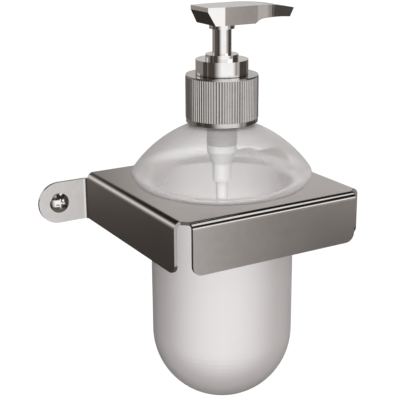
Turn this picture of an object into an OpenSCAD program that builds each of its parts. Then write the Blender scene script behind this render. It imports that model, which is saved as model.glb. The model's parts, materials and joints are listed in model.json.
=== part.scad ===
// Wall mounted soap dispenser: a bent sheet bracket, a glass bottle that drops into it,
// and a screw-on lotion pump.
// Millimetres, +Z up. Origin: on the wall, half way between the two wall screws.
// The wall is the plane y = 0, and the room is on the -Y side.
// Heights in the Pump and Bottle sections count from the top of the bracket's plate,
// on the bottle's axis.

/* [Bracket] */
// Width of the plate over its two side lips
plate_w = 100; // [90:1:130]
// From the wall to the outer face of the front lip
reach = 100; // [95:1:125]
// From the wall to the axis of the bottle
axis_reach = 51.4; // [50:0.1:60]
// Thickness of the sheet
sheet_t = 1.6; // [1:0.1:2.5]
// Inner radius of every bend
bend_r = 1.6; // [0.8:0.1:3]
// Open corner: from a lip's end to its neighbour's outer face
corner_gap = 6; // [5.7:0.1:9]
// Radius of the lips' free lower corners
lip_corner_r = 4.6; // [1:0.1:6]
// Radius of an ear's round end, which is half the ear's height
ear_r = 10.5; // [8:0.5:14]
// Distance between the two wall screws
ear_pitch = 130; // [124:1:170]
// Height from the end of the plate's bend to the top of an ear
ear_relief = 0.1; // [0:0.1:3]
// Diameter of an ear's screw hole
ear_hole_d = 5.4; // [5:0.1:6]
// Room between the bottle and the edge of the plate's hole, all round
seat_clear = 1; // [0.5:0.1:2]

/* [Wall fixing] */
// Diameter of a wall screw's shank
screw_d = 4.8; // [4:0.1:4.9]
// Length of a wall screw under its head
screw_len = 16; // [12:1:60]
// Room between a screw's plain neck and the edge of its hole, all round
neck_clear = 0.1; // [0.05:0.05:0.2]
// How far the neck reaches out of the back of the ear
neck_reach = 0.3; // [0.1:0.1:0.5]
// Diameter of a screw head
screw_head_d = 10; // [8:0.1:12]
// Height of a screw head
screw_head_h = 3; // [2.4:0.1:4]
// Width of the cross recess's arms
recess_w = 1.2; // [0.8:0.1:1.6]
// Length of the cross recess's arms
recess_len = 5.2; // [4:0.1:6]

/* [Bottle] */
// Outer diameter of the bottle's straight part
body_d = 70; // [50:1:72]
// Depth of the straight part below the plate, down to the centre of the round bottom
body_drop = 76.5; // [50:0.5:110]
// Outer diameter of the dome
dome_d = 87.2; // [82:0.2:92]
// Radius of the dome's lower edge, where it turns under to the plate
seat_round = 5.4; // [3.5:0.1:6.5]
// Radius of the dome's shoulder
shoulder_r = 3; // [2.4:0.1:6]
// Angle that the shoulder turns through
shoulder_turn = 35.7; // [30:0.1:42]
// Radius of the dome's upper arc
dome_arc_r = 60.6; // [54:0.1:70]
// Thickness of the glass
glass_t = 2; // [1.5:0.1:2.2]
// Outer diameter of the neck
neck_d = 25.8; // [24:0.1:27]
// Bore of the neck
neck_bore_d = 19; // [18.4:0.1:20]
// Height of the neck above the dome
neck_h = 17.5; // [15:0.1:24]

/* [Collar] */
// Outer diameter over the collar's ribs
collar_d = 34.8; // [34.4:0.1:38]
// Height of the collar
collar_h = 22.5; // [20:0.1:23.4]
// Number of ribs round the collar
rib_count = 84; // [48:1:96]
// Depth of the grooves between the ribs
rib_depth = 0.4; // [0.2:0.05:0.6]
// Height of the plain band at the collar's foot
band_h = 2; // [1:0.1:4]
// Height of the plain rim at the collar's top
rim_h = 0.8; // [0.4:0.1:2]
// Wall thickness of the collar shell
shell_t = 1.1; // [0.8:0.1:1.3]
// Wall thickness of the screw cap inside the collar
cap_t = 1.6; // [1.2:0.1:2]

/* [Pump] */
// Diameter of the wide ring on top of the collar
ring_d = 25; // [24.6:0.1:28]
// Height of the wide ring
ring_h = 7; // [5:0.1:10]
// Wall thickness of the wide ring
ring_t = 1.3; // [1:0.1:1.5]
// Diameter of the small ring round the stem
guide_d = 15.6; // [13.6:0.1:18]
// Height of the small ring
guide_h = 2.4; // [1.5:0.1:4]
// Diameter of the stem
stem_d = 9; // [8.6:0.1:9.2]
// Bore of the stem, which takes the rod
stem_bore_d = 6.1; // [5.8:0.1:6.6]
// How far the head can be pressed
press_travel = 11.5; // [8:0.1:12]
// Gap that is left under the head when it is pressed
press_gap = 0.4; // [0.3:0.1:1]
// Thickness of the washer on the neck
gasket_t = 1.5; // [1:0.1:2]
// Thickness of the pump's flange
flange_t = 1.6; // [1.2:0.1:2]
// Bore of the pump's barrel
barrel_bore_d = 12; // [11:0.1:12.4]
// Wall thickness of the barrel
barrel_t = 1.3; // [1:0.1:1.8]
// Wall thickness of the turret above the flange, inside the wide ring
turret_t = 3.6; // [2.4:0.1:3.8]
// Height of the piston seal
seal_h = 5; // [3.5:0.1:6]
// Thickness of the flange at the foot of the rod
rod_flange_t = 1.2; // [0.8:0.1:2]
// Bore of the rod, which is the way up for the soap
rod_bore_d = 2.8; // [2:0.1:3.2]
// Wire diameter of the spring
wire_d = 0.9; // [0.6:0.05:1.1]
// Length of the spring when the head is up
spring_len = 27; // [26:0.5:34]
// Number of turns of the spring
spring_turns = 9; // [6:1:11]
// Diameter of the lower ball
inlet_ball_d = 4.8; // [4.4:0.1:5.2]
// Diameter of the upper ball
outlet_ball_d = 3.3; // [3.2:0.05:3.6]
// Outer diameter of the dip tube
dip_d = 6; // [5:0.1:6.6]
// Wall thickness of the dip tube
dip_t = 0.9; // [0.6:0.1:1.2]
// Depth of the socket that holds the dip tube
dip_socket = 8; // [6:0.5:12]
// Gap between the dip tube's end and the bottle's bottom
dip_end_gap = 5; // [3:0.5:12]

/* [Head] */
// Height of the head's block
head_h = 8.4; // [8.2:0.1:10]
// Width of the block at its widest
head_w = 19.5; // [16:0.1:24]
// Width of the block at its back
head_back_w = 16; // [14:0.1:20]
// From the stem's axis to the back of the block
head_back = 12.15; // [10:0.1:14]
// Length of the tapered stretch at the back
head_taper = 8; // [5:0.1:9]
// How far the back face leans in under its upright edge
back_undercut = 3.6; // [1:0.1:4.5]
// Height of the upright edge at the top of the back
back_edge_h = 2; // [1:0.1:3]
// From the stem's axis to the start of the spout
spout_start = 13.4; // [12:0.1:16]
// From the stem's axis to the upper edge of the tip
spout_reach = 35; // [30:0.5:45]
// Width of the spout's tip
tip_w = 16.7; // [12:0.1:19]
// Depth of the hollow curve in each side of the spout
waist_depth = 0.6; // [0.2:0.05:1]
// Radius of the spout's top, which curves down to the tip
spout_top_r = 102; // [95:1:160]
// Height of the arch under the spout
arch_h = 2.25; // [1.8:0.05:2.6]
// Radius of the long part of the arch
arch_r = 95; // [70:1:140]
// Radius of the short curve that starts the arch
arch_start_r = 8; // [6:0.5:9]
// How far the tip leans in from its upper to its lower edge
tip_undercut = 2.2; // [0.5:0.1:3]
// Diameter of the ring under the head
head_ring_d = 12; // [11:0.1:15]
// Height of the ring under the head
head_ring_h = 2.3; // [1.5:0.1:4]
// Diameter of the head's plastic core
core_d = 12; // [11:0.1:13]
// Outer diameter of the liner in the spout
spout_tube_d = 2.8; // [2.4:0.1:3]
// Wall thickness of the liner in the spout
spout_tube_t = 0.4; // [0.3:0.05:0.6]
// Metal between the liner's channel and the arch under the spout
spout_wall = 0.5; // [0.4:0.05:0.8]

/* [Clearances] */
// Radial clearance of a part that slides or turns in a bore
slide_fit = 0.05; // [0.02:0.01:0.09]
// Clearance between pieces that are pushed together
push_fit = 0.02; // [0.01:0.01:0.05]
// Gap between faces of parts that move apart or turn past each other
face_gap = 0.2; // [0.1:0.05:0.4]
// Gap under the dome, where the bottle hangs in the bracket
seat_gap = 0.1; // [0.05:0.05:0.3]

/* [Hidden] */
$fn = 96;
cut = 1; // how far a cutting shape runs past what it cuts

// Bracket
bend_out = bend_r + sheet_t;
plate_top = bend_out + ear_relief + ear_r;
lip_h = plate_top + ear_r;
side_lip_end = reach - corner_gap;
front_lip_half = plate_w / 2 - corner_gap;
bend_line_x = plate_w / 2 - bend_out;
body_r = body_d / 2;
seat_hole_r = body_r + seat_clear;

// Bottle
dome_r = dome_d / 2;
neck_r = neck_d / 2;
neck_bore_r = neck_bore_d / 2;
shoulder_z = seat_gap + seat_round;
dome_arc_x = dome_r - shoulder_r + (shoulder_r - dome_arc_r) * cos(shoulder_turn);
dome_arc_z = shoulder_z + (shoulder_r - dome_arc_r) * sin(shoulder_turn);
neck_turn = acos((neck_r - dome_arc_x) / dome_arc_r);
neck_base = dome_arc_z + dome_arc_r * sin(neck_turn);
neck_top = neck_base + neck_h;
inner_body_r = body_r - glass_t;
inner_arc_r = dome_arc_r - glass_t;
inner_neck_turn = acos((neck_bore_r - dome_arc_x) / inner_arc_r);
edge_r = seat_clear / 2; // rounding where the dome's underside meets the straight part
profile_step = 4; // degrees between points on an arc of the bottle's profile

// Stack on the neck
gasket_z = neck_top + seat_gap;
flange_z = gasket_z + gasket_t;
flange_r = neck_r - face_gap;
cap_web_z = flange_z + flange_t + face_gap;
collar_top = cap_web_z + cap_t + shell_t;
collar_foot = collar_top - collar_h;
collar_r = collar_d / 2;
groove_r = collar_r - rib_depth;
shell_bore_r = groove_r - shell_t;
cap_r = shell_bore_r - push_fit;
cap_bore_r = cap_r - cap_t;
ring_foot = collar_top + face_gap;
ring_top = ring_foot + ring_h;
ring_r = ring_d / 2;
turret_r = ring_r - ring_t - push_fit;
turret_top = ring_top - ring_t;
turret_bore_r = turret_r - turret_t;
web_hole_r = turret_r + face_gap;
guide_top = ring_top + guide_h;
guide_spigot_r = guide_d / 2 - 1.8;
stem_r = stem_d / 2;
stem_bore_r = stem_bore_d / 2;
slide_bore_r = stem_r + slide_fit;
guide_foot = cap_web_z;

// Barrel, from its top down
barrel_bore_r = barrel_bore_d / 2;
barrel_r = barrel_bore_r + barrel_t;
seal_top = guide_foot - face_gap;
rod_foot = seal_top - seal_h - rod_flange_t;
spring_foot = rod_foot - spring_len;
cage_t = 1.2;
cage_foot = spring_foot - cage_t;
inlet_ball_r = inlet_ball_d / 2;
inlet_lift = 1.2;
ball_room_r = inlet_ball_r + 0.9;
seat_hole_low_r = inlet_ball_r * 0.66;
seat_cone_h = ball_room_r - seat_hole_low_r;
ball_above_cone = inlet_ball_r * sqrt(2) - seat_hole_low_r + seat_gap;
ball_room_h = ball_above_cone + inlet_ball_r + inlet_lift + face_gap - seat_cone_h;
cone_foot = cage_foot - ball_room_h - seat_cone_h;
inlet_ball_z = cone_foot + ball_above_cone;
socket_top = cone_foot - 1.2;
socket_foot = socket_top - dip_socket;
dip_r = dip_d / 2;
foot_r = dip_r + 1.5;
dip_end = -body_drop - inner_body_r + dip_end_gap;

// Head
head_ring_foot = guide_top + press_gap + press_travel;
head_foot = head_ring_foot + head_ring_h;
head_top = head_foot + head_h;
core_r = core_d / 2;
core_top = head_top - 1.8;
stem_top = head_foot + 1.2;
rod_r = stem_bore_r - push_fit;
rod_bore_r = rod_bore_d / 2;
rod_top = stem_top + 1.4;
outlet_ball_r = outlet_ball_d / 2;
outlet_lift = 0.5;
outlet_ball_z = rod_top + sqrt(pow(outlet_ball_r, 2) - pow(rod_bore_r, 2)) + seat_gap / 2;
outlet_room_top = outlet_ball_z + outlet_ball_r + outlet_lift + face_gap;
outlet_room_r = outlet_ball_r + 0.5;
spout_tube_r = spout_tube_d / 2;
channel_r = spout_tube_r + push_fit;
spout_tube_z = head_foot + arch_h + spout_wall + channel_r;
tip_drop = spout_top_r - sqrt(pow(spout_top_r, 2) - pow(spout_reach - spout_start, 2));
tip_top = head_top - tip_drop;

function arc(cx, cy, r, from, to, step) =
    let(n = max(1, ceil(abs(to - from) / step)))
    [for (i = [0:n]) let(a = from + (to - from) * i / n) [cx + r * cos(a), cy + r * sin(a)]];

// A ring about the Z axis, from z = low to z = high.
module tube(outer_r, inner_r, low, high) {
    difference() {
        translate([0, 0, low]) cylinder(r = outer_r, h = high - low);
        translate([0, 0, low - cut]) cylinder(r = inner_r, h = high - low + 2 * cut);
    }
}

// Puts what is drawn about the Z axis, from the plate's top up, on the bottle's axis.
module on_axis() {
    translate([0, -axis_reach, plate_top]) children();
}

module both_sides() {
    children();
    mirror([1, 0, 0]) children();
}

// A quarter turn of sheet, from +Y to +X, extruded up +Z.
module bend(length) {
    linear_extrude(length) intersection() {
        difference() {
            circle(bend_out);
            circle(bend_r);
        }
        square(bend_out);
    }
}

// A lip's outline, hanging from y = 0, with its free lower corners rounded.
module lip_outline(width, height) {
    translate([-width / 2, lip_corner_r - height]) square([width, height - lip_corner_r]);
    translate([lip_corner_r - width / 2, -height]) square([width - 2 * lip_corner_r, height]);
    for (side = [-1, 1])
        translate([side * (width / 2 - lip_corner_r), lip_corner_r - height]) circle(lip_corner_r);
}

module plate() {
    half = [
        [bend_line_x, -bend_out], [bend_line_x, -side_lip_end],
        [front_lip_half, bend_out - reach]
    ];
    translate([0, 0, plate_top - sheet_t]) linear_extrude(sheet_t)
        polygon(concat(half, [for (i = [len(half) - 1:-1:0]) [-half[i].x, half[i].y]]));
}

module front_lip() {
    translate([front_lip_half, bend_out - reach, plate_top - bend_out])
        rotate([0, 0, -90]) rotate([90, 0, 0]) bend(2 * front_lip_half);
    translate([0, sheet_t - reach, plate_top - bend_out]) rotate([90, 0, 0])
        linear_extrude(sheet_t) lip_outline(2 * front_lip_half, lip_h - bend_out);
}

// The right side lip, from the front corner back to the bend of its ear.
module side_lip() {
    length = side_lip_end - bend_out;
    height = lip_h - bend_out;
    translate([bend_line_x, -bend_out, plate_top - bend_out]) rotate([90, 0, 0]) bend(length);
    translate([plate_w / 2 - sheet_t, -bend_out - length, plate_top - bend_out])
        rotate([90, 0, 90]) linear_extrude(sheet_t) {
            translate([length / 2, 0]) lip_outline(length, height);
            translate([length / 2, -height]) square([length / 2, height]);
        }
}

module ear() {
    translate([plate_w / 2 + bend_r, -bend_out, -ear_r]) rotate([0, 0, 90]) bend(2 * ear_r);
    rotate([90, 0, 0]) linear_extrude(sheet_t) {
        translate([plate_w / 2 + bend_r, -ear_r])
            square([(ear_pitch - plate_w) / 2 - bend_r, 2 * ear_r]);
        translate([ear_pitch / 2, 0]) circle(ear_r);
    }
}

module bracket() {
    color("silver") difference() {
        union() {
            plate();
            front_lip();
            both_sides() {
                side_lip();
                ear();
            }
        }
        translate([0, -axis_reach, plate_top - sheet_t - cut])
            cylinder(r = seat_hole_r, h = sheet_t + 2 * cut);
        both_sides() translate([ear_pitch / 2, cut, 0]) rotate([90, 0, 0])
            cylinder(r = ear_hole_d / 2, h = sheet_t + 2 * cut);
    }
}

// One wall screw along +Z: its domed head below z = 0, its neck and shank above.
module wall_screw() {
    head_r = screw_head_d / 2;
    edge_h = screw_head_h * 0.25;
    crown_h = screw_head_h - edge_h;
    crown_r = (pow(head_r, 2) + pow(crown_h, 2)) / (2 * crown_h);
    recess_depth = screw_head_h * 0.7;
    difference() {
        intersection() {
            translate([0, 0, crown_r - screw_head_h]) sphere(crown_r);
            translate([0, 0, -screw_head_h]) cylinder(r = head_r, h = screw_head_h);
        }
        for (turn = [0, 90]) rotate([0, 0, turn])
            translate([-recess_len / 2, -recess_w / 2, -screw_head_h - cut])
                cube([recess_len, recess_w, recess_depth + cut]);
    }
    cylinder(r = ear_hole_d / 2 - neck_clear, h = sheet_t + neck_reach);
    cylinder(r = screw_d / 2, h = screw_len);
}

module wall_screws() {
    color("gainsboro") both_sides()
        translate([ear_pitch / 2, -sheet_t, 0]) rotate([-90, 0, 0]) wall_screw();
}

module bottle() {
    outside = concat(
        arc(0, -body_drop, body_r, -90, 0, profile_step),
        arc(body_r + edge_r, seat_gap - edge_r, edge_r, 180, 90, 30),
        arc(dome_r - seat_round, seat_gap + seat_round, seat_round, -90, 0, 15),
        arc(dome_r - shoulder_r, shoulder_z, shoulder_r, 0, shoulder_turn, 9),
        arc(dome_arc_x, dome_arc_z, dome_arc_r, shoulder_turn, neck_turn, 3)
    );
    inside = concat(
        arc(dome_arc_x, dome_arc_z, inner_arc_r, inner_neck_turn, shoulder_turn, 3),
        arc(dome_r - shoulder_r, shoulder_z, shoulder_r - glass_t, shoulder_turn, 0, 9),
        arc(dome_r - seat_round, shoulder_z, seat_round - glass_t, 0, -90, 15),
        arc(inner_body_r + glass_t, seat_gap, glass_t, 90, 180, 30),
        arc(0, -body_drop, inner_body_r, 0, -90, profile_step)
    );
    color([0.92, 0.93, 0.93, 0.7]) on_axis() rotate_extrude() polygon(concat(
        outside, [[neck_r, neck_top], [neck_bore_r, neck_top]], inside
    ));
}

module neck_gasket() {
    color("whitesmoke") on_axis()
        tube(flange_r, neck_bore_r + face_gap, gasket_z, flange_z);
}

// Barrel, clamped flange, turret and the foot that holds the dip tube, with the ball's seat.
module pump_housing() {
    shoulder_foot = cone_foot - 0.6;
    color("ivory") on_axis() difference() {
        rotate_extrude() polygon([
            [0, turret_top], [turret_r, turret_top], [turret_r, flange_z + flange_t],
            [flange_r, flange_z + flange_t], [flange_r, flange_z], [barrel_r, flange_z],
            [barrel_r, cage_foot], [foot_r, shoulder_foot], [foot_r, socket_foot],
            [0, socket_foot]
        ]);
        translate([0, 0, guide_foot]) cylinder(r = turret_bore_r, h = turret_top);
        translate([0, 0, cage_foot]) cylinder(r = barrel_bore_r, h = turret_top);
        translate([0, 0, cone_foot + seat_cone_h]) cylinder(r = ball_room_r, h = turret_top);
        translate([0, 0, cone_foot])
            cylinder(r1 = seat_hole_low_r, r2 = ball_room_r, h = seat_cone_h);
        translate([0, 0, socket_top - cut])
            cylinder(r = seat_hole_low_r, h = cone_foot - socket_top + 2 * cut);
        translate([0, 0, socket_foot - cut])
            cylinder(r = dip_r + push_fit, h = dip_socket + cut);
    }
}

module stem_guide() {
    color("ivory") on_axis()
        tube(turret_bore_r - push_fit, slide_bore_r, guide_foot, turret_top - push_fit);
}

module valve_cage() {
    color("ivory") on_axis()
        tube(barrel_bore_r - push_fit, inlet_ball_r * 0.6, cage_foot, spring_foot);
}

module inlet_ball() {
    color("silver") on_axis() translate([0, 0, inlet_ball_z]) sphere(inlet_ball_r);
}

// The lower end is cut on a slant, so that it can't seal against the glass.
module dip_tube() {
    slant = 30;
    color("white") on_axis() difference() {
        tube(dip_r, dip_r - dip_t, dip_end, socket_top);
        translate([-dip_r, 0, dip_end]) rotate([0, -slant, 0])
            translate([-dip_d, -dip_d, -2 * dip_d]) cube([4 * dip_d, 2 * dip_d, 2 * dip_d]);
    }
}

// One closed sweep of the wire's section along the coil, with a ring at every step.
module return_spring() {
    coil_r = barrel_bore_r - 1.2 - wire_d / 2;
    coil_h = spring_len - wire_d - 2 * push_fit;
    sides = 6;
    per_turn = 16;
    steps = spring_turns * per_turn;
    rings = [for (i = [0:steps]) let(a = 360 * i / per_turn, mid = coil_h * i / steps)
        [for (k = [0:sides - 1]) let(b = 360 * k / sides, r = coil_r + wire_d / 2 * cos(b))
            [r * cos(a), r * sin(a), mid + wire_d / 2 * sin(b)]]];
    skin = [for (i = [0:steps - 1]) for (k = [0:sides - 1])
        let(p = i * sides + k, q = i * sides + (k + 1) % sides)
        [p, p + sides, q + sides, q]];
    color("silver") on_axis() translate([0, 0, spring_foot + push_fit + wire_d / 2])
        polyhedron(
            points = [for (ring = rings) each ring],
            faces = concat(skin, [[for (k = [0:sides - 1]) k]],
                [[for (k = [sides - 1:-1:0]) steps * sides + k]])
        );
}

module cap_ring() {
    color("lightgray") on_axis() difference() {
        translate([0, 0, ring_foot]) cylinder(r = ring_r, h = ring_h);
        translate([0, 0, ring_foot - cut]) cylinder(r = ring_r - ring_t, h = ring_h - ring_t + cut);
        translate([0, 0, ring_foot]) cylinder(r = guide_spigot_r + push_fit, h = ring_h + cut);
    }
}

module guide_ring() {
    color("lightgray") on_axis() difference() {
        union() {
            translate([0, 0, ring_top]) cylinder(r = guide_d / 2, h = guide_h);
            translate([0, 0, turret_top]) cylinder(r = guide_spigot_r, h = ring_t);
        }
        translate([0, 0, turret_top - cut])
            cylinder(r = slide_bore_r, h = guide_top - turret_top + 2 * cut);
    }
}

module closure_cap() {
    color("whitesmoke") on_axis() {
        tube(cap_r, cap_bore_r, collar_foot + shell_t, cap_web_z);
        tube(cap_r, turret_r + slide_fit, cap_web_z, cap_web_z + cap_t);
    }
}

// Outline of the ribbed stretch: round ribs side by side, each one an arc that rises
// rib_depth out of the groove between it and its neighbour.
module rib_outline() {
    pitch = 360 / rib_count;
    half_chord = groove_r * tan(pitch / 2);
    rib_r = (pow(half_chord, 2) + pow(rib_depth, 2)) / (2 * rib_depth);
    half_turn = asin(half_chord / rib_r);
    steps = 4;
    polygon([for (i = [0:rib_count - 1]) for (k = [0:steps - 1])
        let (turn = half_turn * (2 * k / steps - 1), x = collar_r + rib_r * (cos(turn) - 1),
            y = rib_r * sin(turn), at = i * pitch)
        [x * cos(at) - y * sin(at), x * sin(at) + y * cos(at)]]);
}

module collar_shell() {
    plain_r = collar_r - rib_depth / 2;
    color("darkgray") on_axis() difference() {
        union() {
            translate([0, 0, collar_foot]) cylinder(r = plain_r, h = band_h);
            translate([0, 0, collar_foot + band_h])
                linear_extrude(collar_h - band_h - rim_h) rib_outline();
            translate([0, 0, collar_top - rim_h]) cylinder(r = plain_r, h = rim_h);
        }
        translate([0, 0, collar_foot - cut])
            cylinder(r = shell_bore_r, h = collar_h - shell_t + cut);
        translate([0, 0, collar_foot]) cylinder(r = web_hole_r, h = collar_h + cut);
    }
}

// Hollow rod: its foot carries the seal and its top is the outlet ball's seat.
module piston_rod() {
    color("ivory") on_axis() {
        tube(rod_r, rod_bore_r, rod_foot, rod_top);
        tube(barrel_bore_r - 0.7, rod_bore_r, rod_foot, rod_foot + rod_flange_t);
    }
}

// The seal has a thin lip at each end, and a waist between them.
module piston_seal() {
    low = rod_foot + rod_flange_t;
    lip_r = barrel_bore_r - slide_fit;
    waist_r = lip_r - 0.8;
    hub_r = rod_r + push_fit;
    lip_h = seal_h * 0.25;
    color("lightgray") on_axis() rotate_extrude() polygon([
        [hub_r, low], [lip_r, low], [lip_r, low + lip_h], [waist_r, low + 1.5 * lip_h],
        [waist_r, low + 2.5 * lip_h], [lip_r, low + 3 * lip_h], [lip_r, low + seal_h],
        [hub_r, low + seal_h]
    ]);
}

module stem() {
    color("silver") on_axis() tube(stem_r, stem_bore_r, seal_top, stem_top);
}

// Outline of the head seen from above, from its back to the tip.
function head_plan() =
    let(
        chord = spout_reach - spout_start,
        drop = (head_w - tip_w) / 2,
        waist_r = (pow(chord, 2) / 4 + pow(waist_depth, 2)) / (2 * waist_depth),
        lean = atan(drop / chord),
        half_turn = asin(chord / 2 / waist_r),
        mid = [(spout_start + spout_reach) / 2, head_w / 2 - drop / 2],
        far = waist_r - waist_depth,
        centre = mid + far * [sin(lean), cos(lean)],
        side = concat(
            [[-head_back, head_back_w / 2], [head_taper - head_back, head_w / 2]],
            arc(centre.x, centre.y, waist_r, -90 - lean - half_turn, -90 - lean + half_turn, 1.5)
        )
    )
    concat(side, [for (i = [len(side) - 1:-1:0]) [side[i].x, -side[i].y]]);

// Outline of the head seen from its side.
function head_side() =
    let(
        arch_top = head_foot + arch_h,
        peak_x = (spout_start + spout_reach) / 2,
        join_turn = 4.2,
        join = [peak_x - arch_r * sin(join_turn), arch_top - arch_r * (1 - cos(join_turn))],
        start = join + arch_start_r * [sin(join_turn), -cos(join_turn)],
        start_turn = acos((head_foot - start.y) / arch_start_r),
        tip_foot_x = spout_reach - tip_undercut,
        end_turn = asin((tip_foot_x - peak_x) / arch_r),
        top_turn = asin((spout_reach - spout_start) / spout_top_r)
    )
    concat(
        [
            [-head_back, head_top - back_edge_h], [-head_back, head_top]
        ],
        arc(spout_start, head_top - spout_top_r, spout_top_r, 90, 90 - top_turn, 1.5),
        arc(peak_x, arch_top - arch_r, arch_r, 90 - end_turn, 90 + join_turn, 1.5),
        arc(start.x, start.y, arch_start_r, 90 + join_turn, 90 + start_turn, 8),
        [[back_undercut - head_back, head_foot]]
    );

module pump_head() {
    color("silver") on_axis() difference() {
        intersection() {
            linear_extrude(head_top + cut) polygon(head_plan());
            translate([0, head_w / 2 + cut, 0]) rotate([90, 0, 0])
                linear_extrude(head_w + 2 * cut) polygon(head_side());
        }
        translate([0, 0, head_foot - cut])
            cylinder(r = core_r + push_fit, h = core_top - head_foot + push_fit + cut);
        translate([0, 0, spout_tube_z]) rotate([0, 90, 0])
            cylinder(r = channel_r, h = spout_reach + cut);
    }
}

module head_ring() {
    color("silver") on_axis() tube(head_ring_d / 2, slide_bore_r, head_ring_foot, head_foot);
}

// The core turns on the stem and rod, and holds the outlet ball's chamber.
module head_core() {
    color("ivory") on_axis() difference() {
        translate([0, 0, head_foot]) cylinder(r = core_r, h = core_top - head_foot);
        translate([0, 0, head_foot - cut])
            cylinder(r = slide_bore_r, h = stem_top - head_foot + face_gap + cut);
        translate([0, 0, head_foot])
            cylinder(r = rod_r + slide_fit, h = rod_top - head_foot + seat_gap);
        translate([0, 0, rod_top]) cylinder(r = outlet_room_r, h = outlet_room_top - rod_top);
        translate([0, 0, spout_tube_z]) rotate([0, 90, 0])
            cylinder(r = spout_tube_r - spout_tube_t, h = core_r + cut);
    }
}

module spout_tube() {
    mouth = spout_reach - tip_undercut;
    color("whitesmoke") on_axis() translate([0, 0, spout_tube_z]) rotate([0, 90, 0])
        tube(spout_tube_r, spout_tube_r - spout_tube_t, core_r + push_fit, mouth);
}

module outlet_ball() {
    color("silver") on_axis() translate([0, 0, outlet_ball_z]) sphere(outlet_ball_r);
}

bracket();
wall_screws();
bottle();
neck_gasket();
pump_housing();
stem_guide();
valve_cage();
inlet_ball();
dip_tube();
return_spring();
cap_ring();
guide_ring();
closure_cap();
collar_shell();
piston_rod();
piston_seal();
stem();
pump_head();
head_ring();
head_core();
spout_tube();
outlet_ball();
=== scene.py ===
"""Looks for the wall mounted soap dispenser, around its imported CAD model. Metres."""

import json
import math

import bpy
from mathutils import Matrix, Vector


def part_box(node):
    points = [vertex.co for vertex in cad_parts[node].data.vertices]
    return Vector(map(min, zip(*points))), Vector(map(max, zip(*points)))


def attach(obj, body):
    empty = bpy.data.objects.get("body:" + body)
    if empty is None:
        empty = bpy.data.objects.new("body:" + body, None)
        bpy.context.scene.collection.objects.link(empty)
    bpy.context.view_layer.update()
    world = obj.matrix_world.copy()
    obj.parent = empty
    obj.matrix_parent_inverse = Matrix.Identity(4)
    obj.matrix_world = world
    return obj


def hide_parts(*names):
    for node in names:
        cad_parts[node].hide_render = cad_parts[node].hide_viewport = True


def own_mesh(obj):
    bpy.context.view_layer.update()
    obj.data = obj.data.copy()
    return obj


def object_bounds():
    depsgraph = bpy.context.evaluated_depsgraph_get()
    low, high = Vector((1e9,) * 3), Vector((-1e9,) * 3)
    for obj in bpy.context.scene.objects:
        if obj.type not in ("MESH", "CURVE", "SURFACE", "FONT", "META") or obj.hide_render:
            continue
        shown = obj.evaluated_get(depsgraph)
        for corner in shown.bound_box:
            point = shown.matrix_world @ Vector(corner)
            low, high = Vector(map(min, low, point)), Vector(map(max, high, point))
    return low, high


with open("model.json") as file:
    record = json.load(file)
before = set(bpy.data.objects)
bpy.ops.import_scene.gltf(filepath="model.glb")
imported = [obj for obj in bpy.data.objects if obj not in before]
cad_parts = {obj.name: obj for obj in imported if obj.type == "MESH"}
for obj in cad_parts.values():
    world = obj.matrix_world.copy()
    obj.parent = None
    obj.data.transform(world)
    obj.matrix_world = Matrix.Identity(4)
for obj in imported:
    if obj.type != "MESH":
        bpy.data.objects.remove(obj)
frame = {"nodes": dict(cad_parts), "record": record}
CAD_BOX = [list(corner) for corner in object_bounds()]
NODES = frame["nodes"]
AXIS_Y = (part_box("stem")[0][1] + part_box("stem")[1][1]) / 2  # the bottle's and pump's axis
PLATE_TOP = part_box("bracket")[1][2]


# ---------------------------------------------------------------- shader helpers

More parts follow.
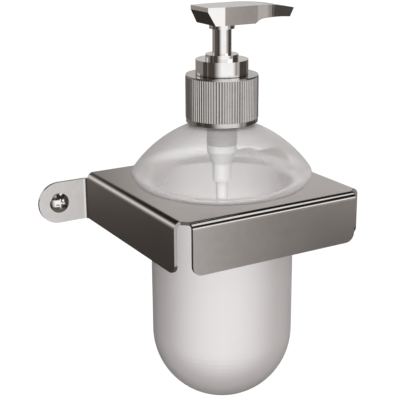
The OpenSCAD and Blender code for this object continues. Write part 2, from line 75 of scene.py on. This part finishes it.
class Shader:
    """A node material with one Principled BSDF, and short calls to build its inputs."""

    def __init__(self, name, colour, **sockets):
        self.mat = bpy.data.materials.new(name)
        self.mat.use_nodes = True
        self.tree = self.mat.node_tree
        self.bsdf = self.tree.nodes["Principled BSDF"]
        self.bsdf.inputs["Base Color"].default_value = (*colour, 1)
        for key, value in sockets.items():
            self.bsdf.inputs[key.replace("_", " ")].default_value = value
        self.place = self.node("ShaderNodeTexCoord")
        self.coord = self.place.outputs["Object"]

    def node(self, kind, **settings):
        made = self.tree.nodes.new(kind)
        for key, value in settings.items():
            setattr(made, key, value)
        return made

    def link(self, source, target):
        self.tree.links.new(source, target)

    def feed(self, socket, value):
        """A link where value is a socket, and a plain number otherwise."""
        if isinstance(value, bpy.types.NodeSocket):
            self.link(value, socket)
        else:
            socket.default_value = value

    def math(self, operation, first, second=0.0):
        made = self.node("ShaderNodeMath", operation=operation)
        self.feed(made.inputs[0], first)
        self.feed(made.inputs[1], second)
        return made.outputs[0]

    def scaled(self, scale):
        """Object coordinates times a scale."""
        mapping = self.node("ShaderNodeMapping")
        self.link(self.coord, mapping.inputs["Vector"])
        mapping.inputs["Scale"].default_value = scale
        return mapping.outputs["Vector"]

    def noise(self, grain, detail=3.0):
        """A noise with so many waves to the metre."""
        made = self.node("ShaderNodeTexNoise")
        self.link(self.scaled((grain, grain, grain)), made.inputs["Vector"])
        made.inputs["Scale"].default_value = 1.0
        made.inputs["Detail"].default_value = detail
        return made.outputs["Fac"]

    def ramp(self, value, low, high, from_low=0.3, from_high=0.7):
        """low up to from_low, high past from_high, straight between. The default limits are
        where a noise mostly lies."""
        made = self.node("ShaderNodeMapRange")
        self.link(value, made.inputs["Value"])
        for key, number in zip(("From Min", "From Max", "To Min", "To Max"),
                               (from_low, from_high, low, high)):
            made.inputs[key].default_value = number
        return made.outputs["Result"]

    def smooth(self, value, start, end):
        """0 up to start and 1 past end, with a soft passage between."""
        made = self.node("ShaderNodeMapRange", interpolation_type="SMOOTHSTEP")
        self.link(value, made.inputs["Value"])
        made.inputs["From Min"].default_value = start
        made.inputs["From Max"].default_value = end
        return made.outputs["Result"]

    def height(self):
        """Height over the origin, in metres."""
        split = self.node("ShaderNodeSeparateXYZ")
        self.link(self.coord, split.inputs[0])
        return split.outputs["Z"]

    def flat(self):
        """1 on faces that lie square to an axis, 0 on bends and rounded edges."""
        size = self.node("ShaderNodeVectorMath", operation="ABSOLUTE")
        self.link(self.place.outputs["Normal"], size.inputs[0])
        split = self.node("ShaderNodeSeparateXYZ")
        self.link(size.outputs[0], split.inputs[0])
        most = self.math("MAXIMUM", split.outputs[0],
                         self.math("MAXIMUM", split.outputs[1], split.outputs[2]))
        return self.ramp(most, 0, 1, 0.985, 0.999)

    def outward(self, middle):
        """1 on faces that look away from a middle point, and 0 on those that look at it,
        from whichever side a ray meets them."""
        away = self.node("ShaderNodeVectorMath", operation="SUBTRACT")
        self.link(self.coord, away.inputs[0])
        away.inputs[1].default_value = middle
        dot = self.node("ShaderNodeVectorMath", operation="DOT_PRODUCT")
        self.link(away.outputs[0], dot.inputs[0])
        face = self.node("ShaderNodeNewGeometry").outputs
        self.link(face["True Normal"], dot.inputs[1])
        away = self.math("GREATER_THAN", dot.outputs["Value"], 0.0)
        return self.math("ABSOLUTE", self.math("SUBTRACT", away, face["Backfacing"]))

    def rough(self, value, low, high):
        self.link(self.ramp(value, low, high), self.bsdf.inputs["Roughness"])

    def tint(self, value, dark, light):
        made = self.node("ShaderNodeMix", data_type="RGBA")
        self.link(self.ramp(value, 0, 1), made.inputs["Factor"])
        made.inputs[6].default_value = (*dark, 1)
        made.inputs[7].default_value = (*light, 1)
        self.link(made.outputs[2], self.bsdf.inputs["Base Color"])

    def darken(self, colour, factor, by):
        """A colour socket multiplied by another colour, as far as factor says."""
        made = self.node("ShaderNodeMix", data_type="RGBA", blend_type="MULTIPLY")
        self.link(factor, made.inputs["Factor"])
        self.link(colour, made.inputs[6])
        made.inputs[7].default_value = (*by, 1)
        return made.outputs[2]

    def bump(self, value, strength, distance):
        made = self.node("ShaderNodeBump")
        self.link(value, made.inputs["Height"])
        made.inputs["Strength"].default_value = strength
        made.inputs["Distance"].default_value = distance
        self.link(made.outputs["Normal"], self.bsdf.inputs["Normal"])


def shades(colour, dark, light=1.0):
    """A colour a little darker and a little lighter, for a faint mottle."""
    return tuple(c * dark for c in colour), tuple(min(1, c * light) for c in colour)


def metal(name, colour, roughness, spread=0.04):
    made = Shader(name, colour, Metallic=1.0, Roughness=roughness)
    made.rough(made.noise(900), roughness - spread, roughness + spread)
    made.tint(made.noise(270), *shades(colour, 0.96, 1.03))
    return made.mat


def satin_metal(name, colour, flat_rough, bend_rough, flat_spread=0.012, bend_spread=0.01):
    """Satin on the flat faces, and burnished on bends, edges and hole walls."""
    made = Shader(name, colour, Metallic=1.0, Roughness=flat_rough)
    value = made.noise(60, detail=5)
    satin = made.ramp(value, flat_rough - flat_spread, flat_rough + flat_spread)
    shine = made.ramp(value, bend_rough - bend_spread, bend_rough + bend_spread)
    flat = made.flat()
    bends = made.math("SUBTRACT", 1.0, flat)
    made.link(made.math("ADD", made.math("MULTIPLY", satin, flat),
                        made.math("MULTIPLY", shine, bends)), made.bsdf.inputs["Roughness"])
    made.tint(made.noise(300), *shades(colour, 0.97, 1.02))
    return made.mat


def moulded(name, colour, roughness, clear=0.0):
    """The grain that all the plastics share, without a mottle."""
    made = Shader(name, colour, Roughness=roughness, Transmission_Weight=clear, IOR=1.45)
    value = made.noise(260)
    made.rough(value, roughness - 0.05, roughness + 0.05)
    made.bump(value, 0.1, 0.00003)
    return made


def plastic(name, colour, roughness, clear=0.0):
    made = moulded(name, colour, roughness, clear)
    made.tint(made.noise(60), *shades(colour, 0.96))
    return made.mat


def barrel_plastic():
    """White plastic that turns grey higher up. The grey is painted shade, where the barrel
    sits under the collar. A real barrel is one colour. The grey makes it stand out less
    through the dome, as the photo shows no pump there."""
    white, grey, grey_from, grey_to = (0.93, 0.92, 0.915), (0.47, 0.46, 0.455), 0.0175, 0.0205
    made = moulded("pump_plastic", (0.9, 0.89, 0.885), 0.4)
    wave = made.ramp(made.noise(60), -0.0004, 0.0004)
    # Painted shade: grey above, white below.
    shade = made.smooth(made.math("ADD", made.height(), wave),
                        PLATE_TOP + grey_from, PLATE_TOP + grey_to)
    made.tint(shade, white, grey)
    return made.mat


def see_through(made, shown, lit):
    """Mixes the shader with clear: shown is its share for sight, lit its share for light."""
    path = made.node("ShaderNodeLightPath")
    by_light = made.math("MAXIMUM", path.outputs["Is Diffuse Ray"],
                         path.outputs["Is Shadow Ray"])
    share = made.node("ShaderNodeMix")
    made.link(by_light, share.inputs["Factor"])
    made.feed(share.inputs[2], shown)
    made.feed(share.inputs[3], lit)
    mix = made.node("ShaderNodeMixShader")
    made.link(share.outputs[0], mix.inputs["Fac"])
    made.link(made.node("ShaderNodeBsdfTransparent").outputs[0], mix.inputs[1])
    made.link(made.bsdf.outputs[0], mix.inputs[2])
    made.link(mix.outputs[0], made.tree.nodes["Material Output"].inputs["Surface"])


# Tones of the glass by height over the plate in mm, from the body up past the dome's shoulder,
# and the stretch of height that they are spread over. They hold the frost's own white, and
# painted shade that darkens the dome above 9.5 mm.
FROST_AND_SHADE = [(-30, 0.98), (-0.5, 0.99), (7, 0.99), (9.5, 0.88), (16, 0.88)]
FROST_AND_SHADE_FROM, FROST_AND_SHADE_TO = -30, 20
FROST_WARMTH = (1, 0.975, 0.98)
# The share of the milky skin on the dome, on the body, and where the glass is seen at a slant.
DOME_MILK, BODY_MILK, SLANT_MILK = 0.3, 0.95, 0.97
# How far the dome and the body take on the grey, and how far the painted contact shade shows,
# a dark line on the glass just over the plate where the dome stands on it.
DOME_GREY, BODY_GREY, CONTACT_SHADE = 0.1, 0.62, 0.42
# The tone taken at a slant, on the whole dome and in the painted contact shade, and the tone
# of the grey.
SLANT_AND_SHADE_TONE, GREY_TONE = (0.78, 0.76, 0.75), (0.74, 0.725, 0.715)


def frosted_glass():
    """Glass etched on the outside: a milky skin over clear glass, which is full from the plate
    down and thin on the dome. Its tone is painted by height, with painted shade that darkens
    the dome above 9.5 mm over the plate and a painted contact shade just over the plate, and
    it darkens at a slant."""
    made = Shader("frosted_glass", (0.8, 0.79, 0.78), Roughness=0.5, Specular_IOR_Level=0.2)
    made.rough(made.noise(900, detail=4), 0.45, 0.55)
    height = made.height()

    def over_plate(low, high, start, end):
        return made.ramp(height, low, high, PLATE_TOP + start, PLATE_TOP + end)

    # Painted shade by height: the dome is darker above 9.5 mm over the plate.
    frost_and_shade = made.node("ShaderNodeValToRGB")
    level = over_plate(0, 1, FROST_AND_SHADE_FROM / 1000, FROST_AND_SHADE_TO / 1000)
    cloud = made.ramp(made.noise(45), -0.004, 0.004)
    made.link(made.math("ADD", level, cloud), frost_and_shade.inputs["Fac"])
    stops = frost_and_shade.color_ramp.elements
    for spot, tone in FROST_AND_SHADE:
        spot = (spot - FROST_AND_SHADE_FROM) / (FROST_AND_SHADE_TO - FROST_AND_SHADE_FROM)
        stop = stops[0] if spot <= 0 else stops.new(spot)
        stop.color = (*(tone * share for share in FROST_WARMTH), 1)
    stops.remove(stops[len(stops) - 1])

    facing = made.node("ShaderNodeLayerWeight")
    facing.inputs["Blend"].default_value = 0.5
    facing = facing.outputs["Facing"]
    body = over_plate(1, 0, -0.001, 0.002)
    foot = over_plate(1, 0, 0.0012, 0.0045)
    past_foot = made.math("SUBTRACT", 1.0, foot)
    dome = made.math("MULTIPLY", made.math("SUBTRACT", 1.0, body), past_foot)
    # Painted contact shade: a dark line on the glass just over the plate.
    contact_shade = made.math("MULTIPLY", over_plate(0, CONTACT_SHADE, -0.0005, 0.0002),
                     over_plate(1, 0, 0.0012, 0.0022))
    # Darker at a slant, on the whole dome, and in the painted contact shade.
    slant_and_shade = made.math("MAXIMUM", made.smooth(facing, 0.04, 0.45),
                      made.math("MAXIMUM", dome, contact_shade))
    grey = made.math("MAXIMUM", made.math("MULTIPLY", past_foot, DOME_GREY),
                     made.math("MULTIPLY", body, BODY_GREY))
    tone = made.darken(frost_and_shade.outputs["Color"], slant_and_shade, SLANT_AND_SHADE_TONE)
    made.link(made.darken(tone, grey, GREY_TONE), made.bsdf.inputs["Base Color"])

    least = made.ramp(foot, DOME_MILK, BODY_MILK, 0, 1)
    milky = made.math("ADD", least, made.math("MULTIPLY", made.smooth(facing, 0.2, 0.85),
                                             made.math("SUBTRACT", SLANT_MILK, least)))
    outside = made.outward((0, AXIS_Y, PLATE_TOP + 0.001))
    see_through(made, made.math("MULTIPLY", milky, outside), 0.0)
    return made.mat


def head_steel():
    """Polished cast metal. The spout's side rolls away a little towards its tip, which the
    solid doesn't have: it is a bump here."""
    colour = (0.82, 0.805, 0.79)
    made = Shader("head_steel", colour, Metallic=1.0, Roughness=0.12)
    made.rough(made.noise(300), 0.1, 0.13)
    made.tint(made.noise(120), *shades(colour, 0.97))
    split = made.node("ShaderNodeSeparateXYZ")
    made.link(made.coord, split.inputs[0])

    def past(start, most=1.0):
        """How far a point lies past a start along the spout, in metres, up to a most."""
        return made.math("MINIMUM", most, made.math("MAXIMUM", 0.0, made.math(
            "SUBTRACT", split.outputs["X"], start)))

    roll, roll_length, slope, far_roll = 17.0, 0.0045, 0.09, 14.0
    swell, turn, far = past(0.0135), past(0.017, roll_length), past(0.0221)
    near_fall = made.math("MULTIPLY", made.math("MULTIPLY", turn, turn), roll)
    far_fall = made.math("MULTIPLY", far, made.math(
        "ADD", made.math("MULTIPLY", far, far_roll), 2 * roll * roll_length))
    fall = made.math("ADD", near_fall, far_fall)
    made.bump(made.math("SUBTRACT", made.math("MULTIPLY", swell, slope), fall), 1.0, 1.0)
    return made.mat


MATERIALS = {
    "bracket_steel": satin_metal("bracket_steel", (0.62, 0.60, 0.585), 0.2, 0.09),
    "screw_steel": metal("screw_steel", (0.80, 0.79, 0.78), 0.1, 0.02),
    "frosted_glass": frosted_glass(),
    "gasket_rubber": plastic("gasket_rubber", (0.75, 0.75, 0.73), 0.7),
    "pump_plastic": barrel_plastic(),
    "seal_plastic": plastic("seal_plastic", (0.9, 0.9, 0.91), 0.4, 0.6),
    "tube_plastic": plastic("tube_plastic", (0.93, 0.925, 0.92), 0.5),
    "spring_steel": metal("spring_steel", (0.6, 0.6, 0.6), 0.2),
    "pump_chrome": metal("pump_chrome", (0.80, 0.785, 0.77), 0.06, 0.015),
    "collar_chrome": metal("collar_chrome", (0.57, 0.55, 0.535), 0.17, 0.02),
    "head_steel": head_steel(),
}
for entry in frame["record"]["subparts"]:
    piece = NODES[entry["node"]]
    piece.data.materials.clear()
    piece.data.materials.append(MATERIALS[entry["material_slot"]])
    for face in piece.data.polygons:
        face.material_index = 0
# The polished faces mirror the studio alone, and not these pieces.
for name in ("bracket", "wall_screws", "bottle", "pump_housing", "valve_cage", "inlet_ball",
             "dip_tube", "return_spring"):
    NODES[name].visible_glossy = False
NODES["bracket"].visible_diffuse = False  # so the dark plate doesn't grey the glass


def return_coil():
    """The pump's spring over again, as a coil of its own on the pump's core."""
    foot, top = (Vector(corner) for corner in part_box("return_spring"))
    wire = 0.00045  # the wire's radius
    turns, per_turn, sides = 9, 24, 10
    steps = turns * per_turn
    radius = (top.x - foot.x) / 2 - wire
    rise = top.z - foot.z - 2 * wire
    points = []
    for i in range(steps + 1):
        turn = 2 * math.pi * i / per_turn
        for k in range(sides):
            round_wire = 2 * math.pi * k / sides
            out = radius + wire * math.cos(round_wire)
            points.append((out * math.cos(turn), AXIS_Y + out * math.sin(turn),
                           foot.z + wire + rise * i / steps + wire * math.sin(round_wire)))
    faces = [(i * sides + k, (i + 1) * sides + k, (i + 1) * sides + (k + 1) % sides,
              i * sides + (k + 1) % sides) for i in range(steps) for k in range(sides)]
    faces += [tuple(range(sides)), tuple(steps * sides + k for k in reversed(range(sides)))]
    mesh = bpy.data.meshes.new("return_coil")
    mesh.from_pydata(points, [], faces)
    mesh.polygons.foreach_set("use_smooth", [True] * len(faces))
    mesh.materials.append(MATERIALS["spring_steel"])
    coil = bpy.data.objects.new("return_coil", mesh)
    bpy.context.collection.objects.link(coil)
    coil.visible_glossy = False
    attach(coil, "pump_core")
    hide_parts("return_spring")
    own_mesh(coil)


return_coil()


# ---------------------------------------------------------------- studio

def compass(turn, tilt):
    """The way to a point of the studio, from its azimuth and elevation in radians. Azimuth 0
    is straight in front of the wall, and a quarter turn on is to the right."""
    return Vector((math.cos(tilt) * math.sin(turn), -math.cos(tilt) * math.cos(turn),
                   math.sin(tilt)))


def plain(name, colour, strength=None):
    """A matt stage material, or a plain glow where a strength is given."""
    mat = bpy.data.materials.new(name)
    mat.use_nodes = True
    tree = mat.node_tree
    if strength is None:
        tree.nodes["Principled BSDF"].inputs["Base Color"].default_value = (*colour, 1)
        tree.nodes["Principled BSDF"].inputs["Roughness"].default_value = 0.9
    else:
        tree.nodes.remove(tree.nodes["Principled BSDF"])
        glow = tree.nodes.new("ShaderNodeEmission")
        glow.inputs["Color"].default_value = (*colour, 1)
        glow.inputs["Strength"].default_value = strength
        tree.links.new(glow.outputs[0], tree.nodes["Material Output"].inputs["Surface"])
    return mat


# The soft lights of the world that matt faces get, in degrees: azimuth, elevation, the cosine
# of the angle off its middle where a light starts, and its level there.
FILL = 0.03
LOBES = [
    (-31, 35, 0.7, 3.0),   # the key, above in front
    (-34, -20, 0.6, 0.8),  # a weak one below it
    (95, 0, 0.85, 3.1),    # one at the right
    (150, 5, 0.72, 3.4),   # and one behind
]


def white_world():
    """White where the camera, gloss and glass see it, though the studio's shell stands before
    it for gloss. Matt light gets the fill and the lobes."""
    world = bpy.data.worlds.new("studio_world")
    bpy.context.scene.world = world
    world.use_nodes = True
    tree = world.node_tree

    def node(kind, **settings):
        made = tree.nodes.new(kind)
        for key, value in settings.items():
            setattr(made, key, value)
        return made

    way = node("ShaderNodeTexCoord").outputs["Generated"]
    total = FILL
    for turn, tilt, start, level in LOBES:
        dot = node("ShaderNodeVectorMath", operation="DOT_PRODUCT")
        tree.links.new(way, dot.inputs[0])
        dot.inputs[1].default_value = compass(math.radians(turn), math.radians(tilt))
        lobe = node("ShaderNodeMapRange", interpolation_type="SMOOTHSTEP")
        tree.links.new(dot.outputs["Value"], lobe.inputs["Value"])
        lobe.inputs["From Min"].default_value = start
        lobe.inputs["To Max"].default_value = level
        both = node("ShaderNodeMath", operation="ADD")
        tree.links.new(lobe.outputs["Result"], both.inputs[0])
        if isinstance(total, float):
            both.inputs[1].default_value = total
        else:
            tree.links.new(total, both.inputs[1])
        total = both.outputs[0]
    path = node("ShaderNodeLightPath")
    seen = path.outputs["Is Camera Ray"]
    for key in ("Is Glossy Ray", "Is Transmission Ray"):
        either = node("ShaderNodeMath", operation="MAXIMUM")
        tree.links.new(seen, either.inputs[0])
        tree.links.new(path.outputs[key], either.inputs[1])
        seen = either.outputs[0]
    level = node("ShaderNodeMix")
    tree.links.new(seen, level.inputs["Factor"])
    tree.links.new(total, level.inputs[2])
    level.inputs[3].default_value = 1.0
    tree.links.new(level.outputs[0], tree.nodes["Background"].inputs["Strength"])
    tree.nodes["Background"].inputs["Color"].default_value = (1, 1, 1, 1)


white_world()


def fade(x, start, end):
    """1 up to start, 0 from end, and smooth between them. start may be the larger."""
    t = min(1, max(0, (x - start) / (end - start)))
    return 1 - t * t * (3 - 2 * t)


# Soft boxes round the object, as the polished faces show them, in degrees: from and to
# azimuth with a soft edge each, from and to elevation with a soft edge, and a level.
SOFT_BOXES = [
    (-27, 46, 14, 29, -34, 14, 12, 1.15),   # the wide front window
    (38, 8, 47, 8, -14, 14, 8, 0.52),       # its weaker neighbour to the right
    (44, 8, 82, 14, 50, 60, 5, 1.2),        # a strip, high on the right
    (10, 8, 44, 8, 5, 12, 5, 1.5),          # a short bright one, just above eye level
    (132, 8, 236, 8, -12, 22, 9, 0.28),    # the wall behind
    (134, 10, 152, 9, 3, 20, 13, 0.62),    # brighter where it is lit, behind the right
    (195, 8, 215, 8, 1, 16, 9, 0.85),      # and brighter still behind the left
    (-97, 1, -94, 1, -30, 30, 5, 0.24),    # a thin strip in the dark on the left
    (105, 3, 117, 4, -30, 30, 5, 0.24),    # and one on the right
]


def shell_glow(direction):
    """The shell's level at a direction: a dim room, a little brighter at eye level and on the
    ground, bright overhead and high on the left, with the soft boxes on top."""
    azimuth = math.degrees(math.atan2(direction.x, -direction.y))
    elevation = math.degrees(math.asin(direction.z))
    side = fade(abs(azimuth + 75), 45, 65)
    level = (0.018 + 0.05 * fade(abs(elevation), 12, 38) + 0.12 * fade(elevation, -58, -35)
             + 0.45 * max(fade(-elevation, -78, -64), side * fade(-elevation, -52, -34)))
    for left, left_edge, right, right_edge, low_el, high_el, edge, glow in SOFT_BOXES:
        middle, half = (left + right) / 2, (right - left) / 2
        off = (azimuth - middle + 180) % 360 - 180
        across = fade(abs(off), half, half + (right_edge if off > 0 else left_edge))
        upright = fade(elevation, high_el, high_el + edge) * fade(-elevation, -low_el,
                                                                  edge - low_el)
        level = max(level, glow * across * upright)
    return level


def studio_shell():
    """A big shell that only gloss sees, with the room's light painted on its inside."""
    rings, sides, radius = 90, 180, 3.0
    middle = Vector((0, AXIS_Y, PLATE_TOP))
    points, faces, levels = [], [], []
    for i in range(rings + 1):
        tilt = math.radians(-90 + 180 * i / rings)
        for k in range(sides):
            turn = 2 * math.pi * k / sides
            way = compass(turn, tilt)
            points.append(middle + way * radius)
            levels.append(shell_glow(way))
    for i in range(rings):
        for k in range(sides):
            near, far = i * sides, (i + 1) * sides
            faces.append((near + k, far + k, far + (k + 1) % sides, near + (k + 1) % sides))
    mesh = bpy.data.meshes.new("studio_shell")
    mesh.from_pydata(points, [], faces)
    tone = mesh.attributes.new("glow", "FLOAT", "POINT")
    tone.data.foreach_set("value", levels)
    mat = plain("studio_glow", (1, 0.985, 0.965), 1.0)
    read = mat.node_tree.nodes.new("ShaderNodeAttribute")
    read.attribute_name = "glow"
    warmth = mat.node_tree.nodes.new("ShaderNodeValToRGB")
    warmth.color_ramp.elements[0].color = (1, 0.86, 0.77, 1)
    warmth.color_ramp.elements[1].color = (0.975, 0.98, 0.99, 1)
    warmth.color_ramp.elements[1].position = 0.9
    mat.node_tree.links.new(read.outputs["Fac"], warmth.inputs["Fac"])
    emission = next(n for n in mat.node_tree.nodes if n.type == "EMISSION")
    mat.node_tree.links.new(read.outputs["Fac"], emission.inputs["Strength"])
    mat.node_tree.links.new(warmth.outputs["Color"], emission.inputs["Color"])
    mesh.materials.append(mat)
    shell = bpy.data.objects.new("studio_shell", mesh)
    bpy.context.collection.objects.link(shell)
    for key in ("camera", "diffuse", "transmission", "shadow", "volume_scatter"):
        setattr(shell, "visible_" + key, False)


studio_shell()


def camera():
    """The photo's view, as fitted to its edges: a long lens, off its middle, from the left."""
    made = bpy.data.cameras.new("camera")
    made.lens = 88.55
    made.sensor_width = 36
    made.shift_x = -0.0548
    made.shift_y = -0.0469
    made.clip_start = 0.01
    obj = bpy.data.objects.new("camera", made)
    bpy.context.collection.objects.link(obj)
    turn, tilt, distance = math.radians(-31.347), math.radians(16.544), 0.479996
    obj.location = Vector((0, AXIS_Y, PLATE_TOP)) + compass(turn, tilt) * distance
    obj.rotation_euler = (math.pi / 2 - tilt, 0, turn)
    bpy.context.scene.camera = obj


def floor():
    """A pale floor well under the part: white to the camera, but for the part's shadow."""
    side, depth = 6.0, CAD_BOX[0][2] - 0.22
    mesh = bpy.data.meshes.new("floor")
    mesh.from_pydata([(-side, -side, depth), (side, -side, depth), (side, side, depth),
                      (-side, side, depth)], [], [(0, 1, 2, 3)])
    mat = plain("floor_white", (0.9, 0.9, 0.9))
    nodes, links = mat.node_tree.nodes, mat.node_tree.links
    glow, mix = nodes.new("ShaderNodeEmission"), nodes.new("ShaderNodeMixShader")
    path, share = nodes.new("ShaderNodeLightPath"), nodes.new("ShaderNodeMath")
    share.operation = "MULTIPLY"
    share.inputs[1].default_value = 0.88  # the rest takes the shadow
    links.new(path.outputs["Is Camera Ray"], share.inputs[0])
    links.new(share.outputs[0], mix.inputs["Fac"])
    links.new(nodes["Principled BSDF"].outputs[0], mix.inputs[1])
    links.new(glow.outputs[0], mix.inputs[2])
    glow.inputs["Strength"].default_value = 1.1
    links.new(mix.outputs[0], nodes["Material Output"].inputs["Surface"])
    mesh.materials.append(mat)
    ground = bpy.data.objects.new("floor", mesh)
    bpy.context.collection.objects.link(ground)
    for key in ("diffuse", "glossy", "shadow"):
        setattr(ground, "visible_" + key, False)


floor()
camera()
bpy.context.scene.view_settings.view_transform = "Standard"
